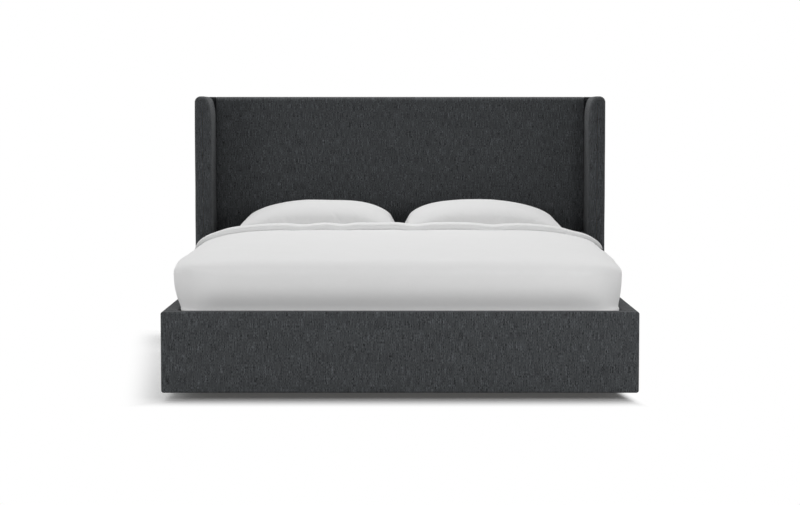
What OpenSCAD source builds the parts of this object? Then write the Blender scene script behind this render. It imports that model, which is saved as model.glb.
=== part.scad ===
/* [Mattress] */
// Width of the mattress, a queen size
mattress_w = 1524; // [1370:1:1830]
// Length of the mattress
mattress_l = 2032; // [1900:1:2130]
// Thickness of the mattress
mattress_h = 240; // [220:1:320]
// Radius of the mattress's upright corners
mattress_corner_r = 60; // [40:1:90]
// Radius of the mattress's top and bottom edges
mattress_edge_r = 24; // [12:1:36]
// Thickness of the fitted sheet
sheet_t = 1.5; // [1:0.5:3]

/* [Base] */
// Gap between the mattress and each side rail
side_gap = 20; // [16:0.5:30]
// Gap between the mattress and the boards at its head and foot
end_gap = 15; // [14:0.5:24]
// Height of the padded rails and of the footboard
rail_h = 286; // [250:1:340]
// Depth by which the mattress sits below the top of the rails
mattress_sink = 116; // [80:1:124]
// Thickness of the timber board inside a rail
rail_board_t = 38; // [28:1:50]
// Foam over the outer face of a rail
rail_foam = 14; // [8:1:24]
// Foam over the top edge of a rail
rail_top_foam = 8; // [6:1:16]
// Thickness of the fabric cover
cover_t = 2; // [1.5:0.5:3]
// Radius of the padded edges of the rails and the footboard
rail_edge_r = 9; // [5:0.5:14]
// Width of the strip under each board that the cover leaves bare
bare_strip = 24; // [12:1:26]

/* [Feet] */
// Height of the block feet under the base
foot_h = 30; // [24:1:60]
// Length of a block foot
foot_w = 80; // [50:1:120]
// Width of a block foot
foot_d = 34; // [28:1:36]
// Distance of the front feet from the front of the footboard
foot_setback = 230; // [180:1:400]
// Distance of each rear foot from the outer face of its rail
foot_inset = 150; // [80:1:260]

/* [Slats] */
// Number of slats
slat_count = 11; // [9:1:12]
// Width of a slat
slat_w = 105; // [60:1:130]
// Thickness of a slat
slat_t = 20; // [14:1:26]
// Free space between a slat's end and the rail
slat_end_gap = 10; // [4:1:14]
// Thickness of the ledger that carries the slats
ledger_t = 30; // [24:1:40]
// Height of the ledger
ledger_h = 40; // [28:1:50]

/* [Centre beam] */
// Width of the beam along the middle
beam_w = 45; // [36:1:70]
// Height of the beam
beam_h = 70; // [50:1:90]
// Thickness of the steel of brackets, hangers and leg plates
steel_t = 4; // [3:0.5:6]
// Depth of the hanger's shelf under the beam
hanger_reach = 50; // [36:1:70]
// Width of each ear of the hanger beside the beam
hanger_ear = 28; // [24:1:40]
// Width of the square leg tube
leg_w = 40; // [34:1:50]
// Wall of the leg tube
leg_wall = 2; // [1.5:0.5:3]
// Width of the plate that joins a leg to the beam
leg_plate_w = 90; // [70:1:120]

/* [Levellers] */
// Diameter of the leveller's threaded stem
stem_d = 10; // [8:1:12]
// Length of the stem above the pad
stem_l = 48; // [40:1:60]
// Diameter of the leveller's pad
pad_d = 36; // [28:1:50]
// Height of the pad
pad_h = 8; // [5:1:12]
// Distance that a leveller can be screwed up
leveller_travel = 12; // [8:1:16]
// Depth of the threaded plug inside the leg tube
plug_l = 20; // [14:1:26]
// Flange of the plug below the leg tube
plug_flange = 3; // [2:0.5:5]
// Clearance between the stem and its plug
stem_clear = 0.05; // [0.02:0.01:0.1]

/* [Brackets and bolts] */
// Height of a corner bracket
bracket_h = 80; // [64:1:86]
// Length of each leg of a corner bracket
bracket_leg = 60; // [50:1:80]
// Height of the bracket above the underside of the rails
bracket_lift = 22; // [14:1:30]
// Diameter of the bolts
bolt_d = 8; // [6:1:10]
// Width of a bolt's hexagonal head across its corners
bolt_head_w = 15; // [12:1:18]
// Height of a bolt's head
bolt_head_h = 5.5; // [4:0.5:7]
// Clearance round a bolt in its hole
bolt_clear = 0.3; // [0.2:0.1:0.6]
// Length of the bolts in the rails and the footboard
short_bolt_l = 34; // [24:1:36]
// Depth to which a long bolt enters the headboard's frame
bolt_grip = 28; // [16:1:29]

/* [Headboard] */
// Height of the headboard above the floor
head_h = 1090; // [900:1:1400]
// Thickness of the headboard's timber frame
head_frame_t = 41; // [30:1:60]
// Width of the headboard's stiles
stile_w = 70; // [50:1:110]
// Height of the headboard's top rail
top_rail_h = 70; // [50:1:110]
// Height of the lower rail that the base is bolted to
lower_rail_h = 200; // [180:1:240]
// Thickness of the plywood panel behind the foam
head_panel_t = 12; // [6:1:18]
// Foam in front of the plywood panel
head_foam = 30; // [15:1:60]
// Foam over the headboard's top edge
head_top_foam = 12; // [8:1:20]
// Radius of the headboard's front top edge
head_edge_r = 26; // [15:1:32]
// Thickness of the panel that closes the back
back_panel_t = 3; // [2:0.5:6]
// Distance of the back panel from the headboard's edges
back_panel_inset = 24; // [16:1:40]
// Width by which the cover is turned in behind the headboard
turn_in = 60; // [45:1:90]

/* [Wings] */
// Thickness of a wing
wing_t = 76; // [66:1:100]
// Distance by which a wing stands in front of the headboard
wing_reach = 225; // [120:1:300]
// Gap between a wing and the side rail that it passes
wing_gap = 2; // [1:0.5:6]
// Thickness of the board inside a wing
wing_board_t = 40; // [26:1:44]
// Foam over a wing's front edge
wing_front_foam = 20; // [14:1:30]
// Radius of a wing's front edges
wing_edge_r = 28; // [10:1:30]
// Radius of a wing's upper outer edge
wing_top_r = 28; // [20:1:32]
// Width of the slow curve at the top of a wing's inner face
wing_curve_w = 36; // [20:1:40]
// Height of that slow curve
wing_curve_h = 110; // [60:1:160]
// Number of bolts that hold each wing
wing_bolts = 3; // [2:1:4]
// Depth to which a wing bolt enters the wing's board
wing_bolt_grip = 30; // [16:1:32]

/* [Duvet] */
// Loft of the duvet over the mattress
duvet_loft = 70; // [40:1:80]
// Height that the duvet's top gains from its front to its fold
duvet_rise = 9; // [0:1:20]
// Distance by which the duvet bulges out beside the mattress at its fold
duvet_bulge = 82; // [60:1:110]
// Distance by which it lies fuller on the left
duvet_left = 17; // [0:1:20]
// Height of the duvet's widest line above the rails
duvet_bulge_h = 129; // [90:1:140]
// Distance from the duvet's front to the front of the footboard
duvet_front = 12; // [6:1:40]
// Depth to which the duvet is tucked in below the top of the rails
duvet_tuck = 26; // [16:1:50]
// Distance from the headboard to the fold at the duvet's upper edge
duvet_head_gap = 516; // [480:1:700]
// Length over which the duvet slopes down to its front
duvet_slope = 488; // [300:1:600]
// Radius of the duvet's front corners in plan
duvet_corner_r = 142; // [120:1:170]
// Radius of the tuck's front corners in plan
tuck_corner_r = 63; // [50:1:80]
// Width of the turned-back band
band_w = 112; // [90:1:160]
// Height by which the band stands above the duvet
band_rise = 26; // [20:1:45]
// Share of that height by which the band also stands out at the sides
band_side_share = 0.15; // [0:0.05:0.4]
// Radius of the fold along the duvet's upper edge
fold_r = 18; // [12:1:30]
// Share of the duvet's loft that the fold turns down
fold_drop_share = 0.6; // [0.4:0.05:0.8]

/* [Pillows] */
// Length of a pillow from side to side
pillow_w = 734; // [600:1:740]
// Width of a pillow from front to back
pillow_d = 478; // [380:1:490]
// Height of a pillow's crown above the mattress
pillow_h = 195; // [140:1:220]
// Gap between the two pillows at their corners
pillow_gap = 6; // [6:1:30]
// Height of the seam round a pillow
pillow_seam = 78; // [50:1:90]
// Distance by which the sides are drawn in between the corners
pillow_draw = 8; // [8:1:34]
// Gap between the pillows and the duvet's fold
pillow_front_gap = 6; // [3:1:30]

/* [Hidden] */
rail_t = rail_board_t + rail_foam + 2 * cover_t;
inner_x = mattress_w / 2 + side_gap;
outer_x = inner_x + rail_t;
inner_l = mattress_l + 2 * end_gap;
head_t = 2 * cover_t + head_foam + head_panel_t + head_frame_t + back_panel_t;
total_l = rail_t + inner_l + head_t;
front_y = -total_l / 2;
foot_back_y = front_y + rail_t;
head_front_y = foot_back_y + inner_l;
back_y = total_l / 2;
rail_top = foot_h + rail_h;
slat_top = rail_top - mattress_sink;
slat_bottom = slat_top - slat_t;
beam_bottom = slat_bottom - beam_h;
mattress_top = slat_top + mattress_h;
sheet_top = mattress_top + sheet_t;
mattress_front_y = foot_back_y + end_gap;
mattress_back_y = head_front_y - end_gap;
wing_x = outer_x + wing_gap;
wing_front_y = head_front_y - wing_reach;
soft_clear = 0.4;
cut_over = 1;
slat_names = [for (i = [1:slat_count]) str("slat_", i)];

charcoal = [0.25, 0.26, 0.27];
timber = [0.80, 0.66, 0.47];
plywood = [0.74, 0.60, 0.42];
foam_yellow = [0.93, 0.86, 0.62];
steel = [0.56, 0.57, 0.60];
black_plastic = [0.09, 0.09, 0.10];
white_cloth = [0.93, 0.93, 0.92];

// Copies its children to the other side of the bed
module on_side(side) { mirror([side < 0 ? 1 : 0, 0, 0]) children(); }

// Rectangle from one corner to the other
module box2(x0, y0, x1, y1) { translate([x0, y0]) square([x1 - x0, y1 - y0]); }

// Box from one corner to the other
module box3(x0, y0, z0, x1, y1, z1) { translate([x0, y0, z0]) cube([x1 - x0, y1 - y0, z1 - z0]); }

// Rectangle from one corner to the other with round corners
module round_box2(x0, y0, x1, y1, r) {
    union() {
        box2(x0 + r, y0, x1 - r, y1);
        box2(x0, y0 + r, x1, y1 - r);
        for (x = [x0 + r, x1 - r], y = [y0 + r, y1 - r]) translate([x, y]) circle(r, $fn = 48);
    }
}

// Outline drawn in X and Z, run along Y from y0 to y1
module along_y(y0, y1) { translate([0, y1, 0]) rotate([90, 0, 0]) linear_extrude(y1 - y0) children(); }

// Outline drawn in Y and Z, run along X from x0 to x1
module along_x(x0, x1) { translate([x0, 0, 0]) rotate([90, 0, 90]) linear_extrude(x1 - x0) children(); }

// Outline drawn in X and Y, run upwards from z0 to z1
module upwards(z0, z1) { translate([0, 0, z0]) linear_extrude(z1 - z0) children(); }

// Box with every edge rounded: edge_r on the level edges, corner_r on the upright ones
module soft_box(x0, y0, z0, x1, y1, z1, edge_r, corner_r) {
    intersection() {
        along_y(y0, y1) round_box2(x0, z0, x1, z1, edge_r);
        along_x(x0, x1) round_box2(y0, z0, y1, z1, edge_r);
        upwards(z0, z1) round_box2(x0, y0, x1, y1, corner_r);
    }
}

// Hexagon-headed bolt, head below the origin and shank upwards
module bolt(length) {
    translate([0, 0, -bolt_head_h]) cylinder(d = bolt_head_w, h = bolt_head_h, $fn = 6);
    cylinder(d = bolt_d, h = length, $fn = 24);
}

// Hole for a bolt of that length
module bolt_hole(length) { cylinder(d = bolt_d + 2 * bolt_clear, h = length + bolt_clear, $fn = 24); }

// Heights of the two bolts in each leg of a corner bracket
bracket_z = foot_h + bracket_lift;
bracket_bolt_z = [bracket_z + bracket_h / 4, bracket_z + bracket_h * 3 / 4];
bracket_bolt_at = bracket_leg * 0.6;
long_bolt_l = steel_t + cover_t + head_foam + head_panel_t + bolt_grip;

// Middle of the opening between the rails
middle_y = (foot_back_y + head_front_y) / 2;

// Turns something drawn at the front right inner corner to the given corner
module at_corner(side, end) {
    on_side(side)
        translate([0, middle_y, 0]) mirror([0, end > 0 ? 1 : 0, 0]) translate([0, -middle_y, 0]) children();
}

// Places its children at the bracket bolts that run into a rail
module at_rail_bolts() {
    for (side = [-1, 1], end = [-1, 1], z = bracket_bolt_z)
        at_corner(side, end)
            translate([inner_x - steel_t, foot_back_y + bracket_bolt_at, z]) rotate([0, 90, 0]) children();
}

// Places its children at the bracket bolts that run into one end board
module at_end_bolts(end) {
    for (side = [-1, 1], z = bracket_bolt_z)
        at_corner(side, end)
            translate([inner_x - bracket_bolt_at, foot_back_y + steel_t, z]) rotate([90, 0, 0]) children();
}

// Places its children at the two bolts of one beam hanger
hanger_bolt_x = (beam_w + hanger_ear) / 2 + steel_t;
module at_hanger_bolts(end) {
    for (side = [-1, 1])
        at_corner(side, end)
            translate([hanger_bolt_x, foot_back_y + steel_t, beam_bottom + beam_h / 2])
                rotate([90, 0, 0]) children();
}

// Places its children at the bolts that run from a stile into a wing
wing_bolt_l = stile_w + 2 * cover_t + wing_side_foam() + wing_bolt_grip;
module at_wing_bolts() {
    low_z = foot_h + bracket_lift + lower_rail_h + stile_w;
    high_z = head_h - cover_t - head_top_foam - top_rail_h - stile_w;
    for (side = [-1, 1], i = [0:wing_bolts - 1])
        on_side(side)
            translate([stile_x(), frame_mid_y(), low_z + (high_z - low_z) * i / (wing_bolts - 1)])
                rotate([0, 90, 0]) children();
}
function wing_side_foam() = (wing_t - wing_board_t) / 2 - cover_t;
function stile_x() = wing_x - cover_t - stile_w;
function frame_mid_y() = back_y - back_panel_t - cover_t - head_frame_t / 2;

// Section of a rail with its outer face at 0: cover, foam and board
module rail_outline(inset) {
    round_box2(inset, foot_h + inset, rail_t - inset, rail_top - inset, rail_edge_r - inset);
}
module rail_board_outline() {
    intersection() {
        rail_outline(cover_t);
        box2(cover_t + rail_foam, foot_h, rail_t, rail_top - cover_t - rail_top_foam);
    }
}
module rail_cover_outline() {
    strip_x = (rail_t - bare_strip) / 2;
    difference() {
        rail_outline(0);
        rail_outline(cover_t);
        box2(strip_x, foot_h - cover_t, strip_x + bare_strip, foot_h + 2 * cover_t);
    }
}

// Puts a rail's section on one side, between the footboard and the headboard
module rail_run(side) {
    on_side(side) along_y(foot_back_y, head_front_y) translate([outer_x, 0]) mirror([1, 0]) children();
}
module rail_board(side) {
    color(timber) difference() {
        rail_run(side) rail_board_outline();
        at_rail_bolts() bolt_hole(short_bolt_l);
    }
}
module rail_foam_pad(side) {
    color(foam_yellow) rail_run(side) difference() {
        rail_outline(cover_t);
        box2(cover_t + rail_foam, foot_h, rail_t, rail_top - cover_t - rail_top_foam);
    }
}
module rail_cover(side) {
    color(charcoal) difference() {
        rail_run(side) rail_cover_outline();
        at_rail_bolts() bolt_hole(short_bolt_l);
    }
}

// Footboard, as wide as the base
module footboard_shape(inset) {
    x = outer_x - inset;
    r = rail_edge_r - inset;
    soft_box(-x, front_y + inset, foot_h + inset, x, foot_back_y - inset, rail_top - inset, r, r);
}
module footboard_core() {
    x = outer_x - cover_t - rail_foam;
    y = front_y + cover_t + rail_foam;
    box3(-x, y, foot_h, x, foot_back_y, rail_top - cover_t - rail_top_foam);
}
module footboard_holes() {
    at_end_bolts(-1) bolt_hole(short_bolt_l);
    at_hanger_bolts(-1) bolt_hole(short_bolt_l);
}
module footboard_board() {
    color(timber) difference() {
        intersection() { footboard_shape(cover_t); footboard_core(); }
        footboard_holes();
    }
}
module footboard_foam() {
    color(foam_yellow) difference() { footboard_shape(cover_t); footboard_core(); }
}
module footboard_cover() {
    strip_x = outer_x - 2 * bare_strip;
    strip_y = front_y + (rail_t - bare_strip) / 2;
    color(charcoal) difference() {
        footboard_shape(0);
        footboard_shape(cover_t);
        box3(-strip_x, strip_y, foot_h - cover_t, strip_x, strip_y + bare_strip, foot_h + 2 * cover_t);
        footboard_holes();
    }
}

// Ledger along one rail, under the slats
module ledger(side) {
    color(timber) on_side(side)
        box3(inner_x - ledger_t, foot_back_y, slat_bottom - ledger_h, inner_x, head_front_y, slat_bottom);
}

// Steel angle in one inner corner
module corner_bracket(side, end) {
    color(steel) difference() {
        at_corner(side, end) upwards(bracket_z, bracket_z + bracket_h) union() {
            box2(inner_x - bracket_leg, foot_back_y, inner_x, foot_back_y + steel_t);
            box2(inner_x - steel_t, foot_back_y, inner_x, foot_back_y + bracket_leg);
        }
        at_rail_bolts() bolt_hole(short_bolt_l);
        at_end_bolts(end) bolt_hole(short_bolt_l);
    }
}

// All bolts of the frame
module frame_bolts() {
    color(steel) {
        at_rail_bolts() bolt(short_bolt_l);
        at_end_bolts(-1) bolt(short_bolt_l);
        at_end_bolts(1) bolt(long_bolt_l);
        at_hanger_bolts(-1) bolt(short_bolt_l);
        at_hanger_bolts(1) bolt(long_bolt_l);
        at_wing_bolts() bolt(wing_bolt_l);
    }
}

// Beam under the middle of the slats
module centre_beam() {
    x = beam_w / 2;
    color(timber) box3(-x, foot_back_y + steel_t, beam_bottom, x, head_front_y - steel_t, slat_bottom);
}
module beam_hanger(end) {
    x = beam_w / 2;
    wide_x = x + steel_t + hanger_ear;
    color(steel) difference() {
        at_corner(1, end) union() {
            box3(-wide_x, foot_back_y, beam_bottom - steel_t, wide_x, foot_back_y + steel_t, slat_bottom);
            box3(-x - steel_t, foot_back_y, beam_bottom - steel_t,
                x + steel_t, foot_back_y + hanger_reach, beam_bottom);
            for (side = [-1, 1]) on_side(side)
                box3(x, foot_back_y, beam_bottom - steel_t,
                    x + steel_t, foot_back_y + hanger_reach, beam_bottom + beam_h * 0.7);
        }
        at_hanger_bolts(end) bolt_hole(short_bolt_l);
    }
}

// Centre leg: plate, square tube and threaded plug
leg_bottom = pad_h + leveller_travel + plug_flange;
leg_y = [for (i = [-1:1]) middle_y + i * inner_l / 3];
module centre_leg(i) {
    half_w = leg_w / 2;
    bore = half_w - leg_wall;
    plate = leg_plate_w / 2;
    plate_bottom = beam_bottom - steel_t;
    color(steel) translate([0, leg_y[i], 0]) difference() {
        union() {
            box3(-plate, -half_w, plate_bottom, plate, half_w, beam_bottom);
            box3(-half_w, -half_w, leg_bottom - plug_flange, half_w, half_w, plate_bottom);
        }
        box3(-bore, -bore, leg_bottom + plug_l, bore, bore, plate_bottom);
        translate([0, 0, leg_bottom - 2 * plug_flange])
            cylinder(d = stem_d + 2 * stem_clear, h = plug_l + 3 * plug_flange, $fn = 48);
    }
}
module leveller(i) {
    color(black_plastic) translate([0, leg_y[i], 0]) union() {
        cylinder(d = pad_d, h = pad_h, $fn = 48);
        cylinder(d = stem_d, h = pad_h + stem_l, $fn = 48);
    }
}

// Block foot: at the front lengthways under a rail, at the rear across under the headboard
module front_foot(side) {
    x = outer_x - (rail_t + foot_d) / 2;
    y = front_y + foot_setback;
    color(black_plastic) on_side(side) box3(x, y, 0, x + foot_d, y + foot_w, foot_h);
}
module rear_foot(side) {
    x = outer_x - foot_inset - foot_w / 2;
    y = frame_mid_y() - foot_d / 2;
    color(black_plastic) on_side(side) box3(x, y, 0, x + foot_w, y + foot_d, foot_h);
}

// Slat number i, counted from the foot of the bed
module slat(i) {
    pitch = inner_l / slat_count;
    x = inner_x - slat_end_gap;
    y = foot_back_y + pitch * (i - 0.5);
    color(timber) box3(-x, y - slat_w / 2, slat_bottom, x, y + slat_w / 2, slat_top);
}

// Headboard, between the wings
head_low = foot_h + cover_t;
head_high = head_h - cover_t - head_top_foam;
head_panel_y = head_front_y + cover_t + head_foam;
head_frame_y = head_panel_y + head_panel_t;
head_cover_back_y = back_y - back_panel_t;
head_core_back_y = head_cover_back_y - cover_t;
module headboard_outline(inset) {
    r = head_edge_r - inset;
    y0 = head_front_y + inset;
    z1 = head_h - inset;
    union() {
        box2(y0, foot_h + inset, head_cover_back_y - inset, z1 - r);
        box2(y0 + r, foot_h + inset, head_cover_back_y - inset, z1);
        translate([y0 + r, z1 - r]) circle(r, $fn = 64);
    }
}
module headboard_holes() {
    at_end_bolts(1) bolt_hole(long_bolt_l);
    at_hanger_bolts(1) bolt_hole(long_bolt_l);
}
module headboard_member(x0, z0, x1, z1) {
    color(timber) difference() {
        box3(x0, head_frame_y, z0, x1, head_core_back_y, z1);
        headboard_holes();
        at_wing_bolts() bolt_hole(wing_bolt_l);
    }
}
module headboard_stile(side) {
    low_x = side < 0 ? -stile_x() - stile_w : stile_x();
    headboard_member(low_x, head_low, low_x + stile_w, head_high);
}
module headboard_top_rail() {
    headboard_member(-stile_x(), head_high - top_rail_h, stile_x(), head_high);
}
module headboard_lower_rail() {
    headboard_member(-stile_x(), head_low, stile_x(), head_low + lower_rail_h);
}
module headboard_panel() {
    x = wing_x - cover_t;
    color(plywood) difference() {
        box3(-x, head_panel_y, head_low, x, head_frame_y, head_high);
        headboard_holes();
    }
}
module headboard_foam() {
    x = wing_x - cover_t;
    color(foam_yellow) difference() {
        along_x(-x, x) headboard_outline(cover_t);
        box3(-x - cut_over, head_panel_y, foot_h, x + cut_over, back_y, head_high);
        headboard_holes();
    }
}
module headboard_cover() {
    x = wing_x - cover_t;
    window_x = wing_x - turn_in;
    color(charcoal) difference() {
        along_x(-wing_x, wing_x) headboard_outline(0);
        along_x(-x, x) headboard_outline(cover_t);
        box3(-window_x, head_core_back_y - cut_over, foot_h + turn_in, window_x, back_y, head_h - turn_in);
        headboard_holes();
        at_wing_bolts() bolt_hole(wing_bolt_l);
    }
}
module headboard_back_panel() {
    x = wing_x - back_panel_inset;
    color([0.13, 0.13, 0.14])
        box3(-x, head_cover_back_y, foot_h + back_panel_inset, x, back_y, head_h - back_panel_inset);
}

// Front outline of the right wing: a slow curve at the inner top, a round outer top.
// Behind the headboard's front a square shoulder takes the curve's place
curve_steps = 14;
curve_power = 0.9;
function wing_outline(inset) = let (
    x0 = wing_x + inset,
    x1 = wing_x + wing_t - inset,
    z0 = foot_h + inset,
    z1 = head_h - inset,
    w = wing_curve_w - inset,
    h = wing_curve_h - inset,
    r = wing_top_r - inset
) concat(
    [[x0, z0], [x1, z0]],
    [for (i = [0:curve_steps]) let (a = 90 * i / curve_steps)
        [x1 - r + r * cos(a), z1 - r + r * sin(a)]],
    [for (i = [0:curve_steps]) let (a = 90 * i / curve_steps)
        [x0 + w - w * pow(sin(a), curve_power), z1 - h + h * pow(cos(a), curve_power)]]
);
module wing_shape(inset) {
    x0 = wing_x + inset;
    x1 = wing_x + wing_t - inset;
    y0 = wing_front_y + inset;
    y1 = back_y - inset;
    r = wing_edge_r - inset;
    intersection() {
        union() {
            along_y(y0, y1) polygon(wing_outline(inset));
            box3(x0, head_front_y + head_edge_r + inset, head_h - wing_curve_h,
                wing_x + wing_curve_w, y1, head_h - inset);
        }
        along_x(x0, x1) round_box2(y0, foot_h + inset, y1, head_h - inset, r);
        upwards(foot_h + inset, head_h - inset) round_box2(x0, y0, x1, y1, r);
    }
}
module wing_core() {
    x0 = wing_x + cover_t + wing_side_foam();
    intersection() {
        box3(x0, wing_front_y + cover_t + wing_front_foam, foot_h,
            x0 + wing_board_t, back_y, head_h - cover_t - head_top_foam);
        wing_shape(cover_t + rail_top_foam / 2);
    }
}
module wing_board(side) {
    color(plywood) difference() {
        on_side(side) wing_core();
        at_wing_bolts() bolt_hole(wing_bolt_l);
    }
}
module wing_foam_pad(side) {
    color(foam_yellow) difference() {
        on_side(side) difference() { wing_shape(cover_t); wing_core(); }
        at_wing_bolts() bolt_hole(wing_bolt_l);
    }
}
module wing_cover(side) {
    color(charcoal) difference() {
        on_side(side) difference() { wing_shape(0); wing_shape(cover_t); }
        at_wing_bolts() bolt_hole(wing_bolt_l);
    }
}

// Mattress and the fitted sheet over it
module mattress_shape(grow) {
    x = mattress_w / 2 + grow;
    soft_box(-x, mattress_front_y - grow, slat_top, x, mattress_back_y + grow, mattress_top + grow,
        mattress_edge_r + grow, mattress_corner_r + grow);
}
module mattress() { color(white_cloth) mattress_shape(0); }
module fitted_sheet() {
    x = mattress_w;
    color(white_cloth) difference() {
        mattress_shape(sheet_t);
        mattress_shape(0);
        box3(-x, front_y, 0, x, back_y, slat_top + mattress_edge_r + sheet_t);
    }
}

// Duvet: sections in X and Z at stations along Y, from its front to its fold
duvet_front_y = front_y + duvet_front;
fold_y = head_front_y - duvet_head_gap;
duvet_l = fold_y - duvet_front_y;
band_y = fold_y - band_w;
duvet_top = sheet_top + duvet_loft;
duvet_wide_z = rail_top + duvet_bulge_h;
tuck_x = inner_x - soft_clear * 2;
slot_y = foot_back_y + soft_clear * 2;
rest_z = rail_top + soft_clear * 2;
hem_z = rail_top - duvet_tuck;
hem_draft = 0.5;
top_steps = 13;
side_steps = 4;

// Powers of the curves that shape the duvet's width, top, sides and underside
widen_power = 0.42;
front_power = 0.3;
fall_power = 5.7;
side_power = 0.68;
under_side_powers = [2, 0.455];
under_front_powers = [3, 2.2];

// Slow waves of the sides and the top, and how their phase runs along Y
side_wave = 2;
side_wave_pace = 0.48;
side_wave_shift = 40;
top_wave = 2;
top_wave_pace = 0.59;

// Share of the band's height at a distance along Y, rounded at both edges
function band_share(y) = let (u = (2 * y - band_y - fold_y) / band_w)
    abs(u) >= 1 ? 0 : sqrt(1 - pow(abs(u), 4));

// Rounding in plan of a corner of radius r, at a distance s from the front
function corner_in(s, r) = s >= r ? 0 : r - sqrt(r * r - pow(r - max(0, s), 2));

// Half of the width before the corners, fuller on the left and with slow waves along the side
function full_half(y, side) = let (s = y - duvet_front_y)
    mattress_w / 2 + duvet_bulge * pow(max(0, s) / duvet_l, widen_power)
    + (side < 0 ? duvet_left : 0) + side_wave * sin(s * side_wave_pace + side_wave_shift * side)
    + band_rise * band_side_share * band_share(y);
function half_width(y, side) = full_half(y, side) - corner_in(y - duvet_front_y, duvet_corner_r);

// Drop of the top where the duvet turns down at its fold
function fold_drop(y) = let (u = (y - fold_y + fold_r) / fold_r)
    u <= 0 ? 0 : (duvet_top - duvet_wide_z) * fold_drop_share * (1 - sqrt(1 - min(1, u * u)));

// Height of the top above the widest line
function crown(y) = let (s = y - duvet_front_y)
    (duvet_top - duvet_wide_z) * pow(min(1, s / duvet_slope), front_power)
    + duvet_rise * s / duvet_l + top_wave * sin(s * top_wave_pace)
    + band_rise * band_share(y) - fold_drop(y);

function top_point(y, i) = let (
    a = -90 + 90 * i / top_steps,
    u = sin(a),
    w = half_width(y, u)
) [w * u, duvet_wide_z + crown(y) * pow(1 - pow(abs(u), fall_power), side_power)];

// Share by which the duvet still stands out at a drop t, from 0 at its widest line to 1 at the tuck
function stand_out(t, powers) = pow(max(0, 1 - pow(t, powers[0])), powers[1]);
function front_at(t) = slot_y + (duvet_front_y - slot_y) * stand_out(t, under_front_powers);
function lower_half(y, side, t) = let (
    k = stand_out(t, under_side_powers),
    r = tuck_corner_r + (duvet_corner_r - tuck_corner_r) * k
) tuck_x + (full_half(y, side) - tuck_x) * k - corner_in(y - front_at(t), r);

// Drop at which the front's underside is met on the way down at y
function most_drop(y) = let (k = max(0, slot_y - y) / (slot_y - duvet_front_y))
    pow(1 - pow(k, 1 / under_front_powers[1]), 1 / under_front_powers[0]);
function side_point(y, side, i) = let (t = most_drop(y) * sin(90 * i / side_steps))
    [side * lower_half(y, side, t), duvet_wide_z - (duvet_wide_z - rest_z) * t];
function hem_point(y, side) = let (p = side_point(y, side, side_steps))
    [p[0] - side * hem_draft, y < slot_y ? p[1] - hem_draft : hem_z];

function duvet_ring(y) = concat(
    [hem_point(y, -1)],
    [for (i = [side_steps:-1:1]) side_point(y, -1, i)],
    [for (i = [0:2 * top_steps]) top_point(y, i)],
    [for (i = [1:side_steps]) side_point(y, 1, i)],
    [hem_point(y, 1)]
);

// Wavy crease where the band lies on the duvet
crease_reach = 4;
crease_deep = 5;
function crease(x, y) = y < band_y - crease_reach || y > band_y + 3 * crease_reach ? 0 :
    crease_deep * (sin(x * 1.1) + 0.6 * sin(x * 2.9 + 50));

duvet_stations = concat(
    [for (s = [1, 4, 10, 20, 32]) duvet_front_y + s],
    [slot_y - 0.1, slot_y],
    [for (s = [60, 90, 130, 180, 240, 320, 410, 520, 660, 820, 980, 1140, 1300]) duvet_front_y + s],
    [for (d = [-30, -4, 1, 4, 12]) band_y + d],
    [for (share = [0.3, 0.65]) band_y + band_w * share],
    [for (d = [-12, -4, -1, 0]) fold_y + d]
);
function ring_3d(y) = [for (p = duvet_ring(y)) [p[0], y + crease(p[0], y), p[1]]];

// Closed skin over a list of equally long rings, with a middle point in each end
function skin_points(rings) = let (n = len(rings[0]), last = len(rings) - 1) concat(
    [for (r = rings, p = r) p],
    [[0, rings[0][0][1], (rings[0][0][2] + rings[0][floor(n / 2)][2]) / 2],
        [0, rings[last][0][1], (rings[last][0][2] + rings[last][floor(n / 2)][2]) / 2]]
);
function skin_faces(count, n) = let (a = count * n, b = a + 1, last = (count - 1) * n) concat(
    [for (j = [0:count - 2], i = [0:n - 1]) let (k = (i + 1) % n, m = j * n) [m + i, m + k, m + n + i]],
    [for (j = [0:count - 2], i = [0:n - 1]) let (k = (i + 1) % n, m = j * n) [m + k, m + n + k, m + n + i]],
    [for (i = [0:n - 1]) [a, (i + 1) % n, i]],
    [for (i = [0:n - 1]) [b, last + i, last + (i + 1) % n]]
);
module duvet() {
    rings = [for (y = duvet_stations) ring_3d(y)];
    room = sheet_t + soft_clear;
    x = mattress_w / 2 + room;
    y = mattress_front_y - room;
    color(white_cloth) difference() {
        polyhedron(skin_points(rings), skin_faces(len(rings), len(rings[0])), convexity = 6);
        upwards(slat_top, sheet_top + soft_clear) round_box2(-x, y, x, back_y, mattress_corner_r + room);
    }
}

// Pillow: an upper and a lower skin that meet in the seam, cut flat where it lies on the sheet.
// It is drawn on the right, where its fuller inner end looks towards -X
pillow_belly = 1.25;
pillow_corner_drop = 0.45;
pillow_inner_power = 3.2;
pillow_outer_power = 2.2;
pillow_side_power = 2.5;
pillow_cells_w = 22;
pillow_cells_d = 16;
pillow_x = pillow_gap / 2 + pillow_w / 2;
pillow_y = fold_y + pillow_front_gap + pillow_d / 2;
function spread(i, n) = sin(90 * (2 * i / n - 1));
function pillow_plan(u, v) = [
    pillow_w / 2 * u - sign(u) * pillow_draw * (1 - v * v) * pow(abs(u), 3),
    pillow_d / 2 * v - sign(v) * pillow_draw * (1 - u * u) * pow(abs(v), 3)
];
function end_power(u) = u < 0 ? pillow_inner_power : pillow_outer_power;
function fullness(u, v) = pow((1 - pow(abs(u), end_power(u))) * (1 - pow(abs(v), pillow_side_power)), 0.8);
function seam_z(u, v) = pillow_seam * (1 - pillow_corner_drop * u * u * v * v);
function upper_z(u, v) = seam_z(u, v) + (pillow_h - pillow_seam) * fullness(u, v);
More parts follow.
